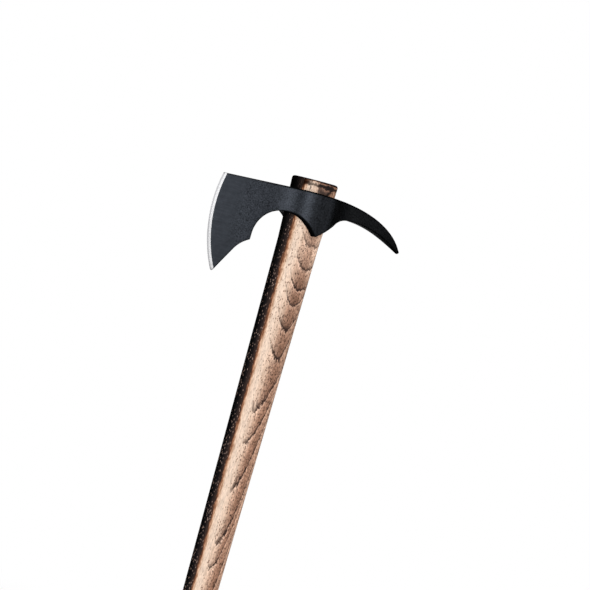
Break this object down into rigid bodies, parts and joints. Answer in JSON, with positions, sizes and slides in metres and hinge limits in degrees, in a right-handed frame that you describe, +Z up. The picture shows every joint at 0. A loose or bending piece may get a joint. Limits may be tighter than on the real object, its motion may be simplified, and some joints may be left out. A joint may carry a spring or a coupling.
{
  "type": "spike hatchet",
  "caption": "Spike hatchet: a forged head with a bearded blade, pointed langets and a drooping spike, slipped onto a tapered oval wooden handle with a charred front edge.",
  "frame": {"origin": "centre of the handle's butt face", "axes": "+Z up the handle towards the head, blade towards -X, spike towards +X"},
  "size_m": [0.1717, 0.041, 0.4866],
  "materials": {
    "charred_wood": "oiled, front edge charred black",
    "phosphated_steel": "matte black phosphate, bright ground cutting edge"
  },
  "bodies": {
    "handle": {"handle": "charred_wood"},
    "head": {"head": "phosphated_steel"}
  },
  "joints": [
    {"name": "head_slide", "type": "slide", "parent": "handle", "child": "head", "axis": [0, 0, -1], "range_m": [0, 0.48]}
  ]
}
